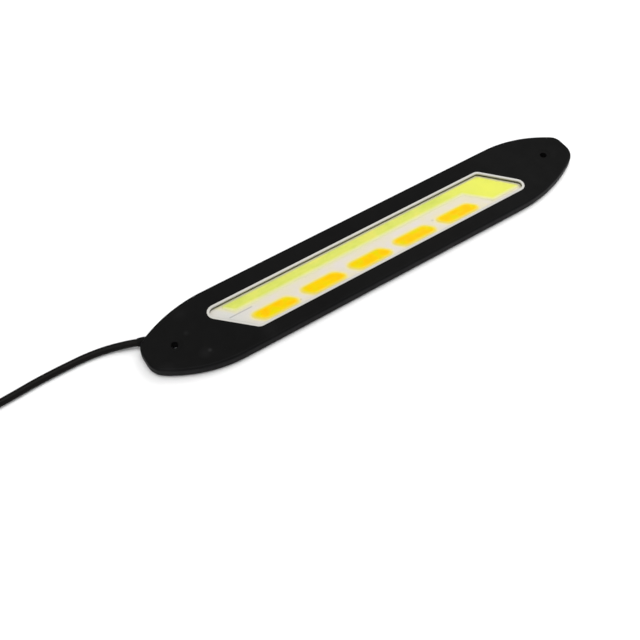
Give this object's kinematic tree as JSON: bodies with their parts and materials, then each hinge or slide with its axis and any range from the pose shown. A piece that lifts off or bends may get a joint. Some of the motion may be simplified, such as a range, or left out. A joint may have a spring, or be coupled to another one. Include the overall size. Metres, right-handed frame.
{
  "type": "daytime running light",
  "caption": "Slim soft black daytime running light with a slanted window, a white light band, amber turn-signal dashes, screw holes at both ends, an adhesive back and a round cable",
  "frame": {"origin": "middle of the lamp's footprint, on the surface that it lies on, cable left out", "axes": "+X along the lamp, away from the end with the cable; +Y across it, towards the side with the wider border beside the window; +Z out of the light's face"},
  "size_m": [0.333, 0.0536, 0.0072],
  "materials": {
    "soft_body": "fine matte moulded silicone, a little dusty",
    "soft_cover": "matte silicone",
    "foam": "matte closed-cell foam",
    "liner": "smooth release film",
    "trim": "satin pale grey",
    "clear": "clear soft cover sheet",
    "board": "white solder mask, satin",
    "spreader": "rolled sheet",
    "white_light": "satin phosphor gel, pale yellow green",
    "amber_light": "satin phosphor gel, amber",
    "chip": "polished die",
    "solder": "dull tin",
    "wire_black": "smooth insulation",
    "wire_white": "smooth insulation",
    "wire_yellow": "smooth insulation",
    "component": "moulded epoxy",
    "cable_sheath": "smooth satin sheath",
    "tie": "satin strap"
  },
  "bodies": {
    "root": {"housing": "soft_body", "back_cover": "soft_cover", "mounting_tape": "foam", "tape_liner": "liner", "window_trim": "trim", "clear_window": "clear", "led_board": "board", "heat_spreader": "spreader", "white_phosphor": "white_light", "amber_phosphor_1": "amber_light", "amber_phosphor_2": "amber_light", "amber_phosphor_3": "amber_light", "amber_phosphor_4": "amber_light", "amber_phosphor_5": "amber_light", "white_led_chips": "chip", "amber_led_chips_1": "chip", "amber_led_chips_2": "chip", "amber_led_chips_3": "chip", "amber_led_chips_4": "chip", "amber_led_chips_5": "chip", "solder_black": "solder", "solder_white": "solder", "solder_yellow": "solder", "core_black": "wire_black", "core_white": "wire_white", "core_yellow": "wire_yellow", "resistor_1": "component", "resistor_2": "component", "resistor_3": "component", "resistor_4": "component", "diode_1": "component", "diode_2": "component", "cable_seal": "soft_body", "cable": "cable_sheath", "cable_coil": "cable_sheath", "cable_tail": "cable_sheath", "cable_tie": "tie", "lead_black": "wire_black", "lead_white": "wire_white", "lead_yellow": "wire_yellow", "lead_tip_black": "solder", "lead_tip_white": "solder", "lead_tip_yellow": "solder"}
  },
  "joints": []
}
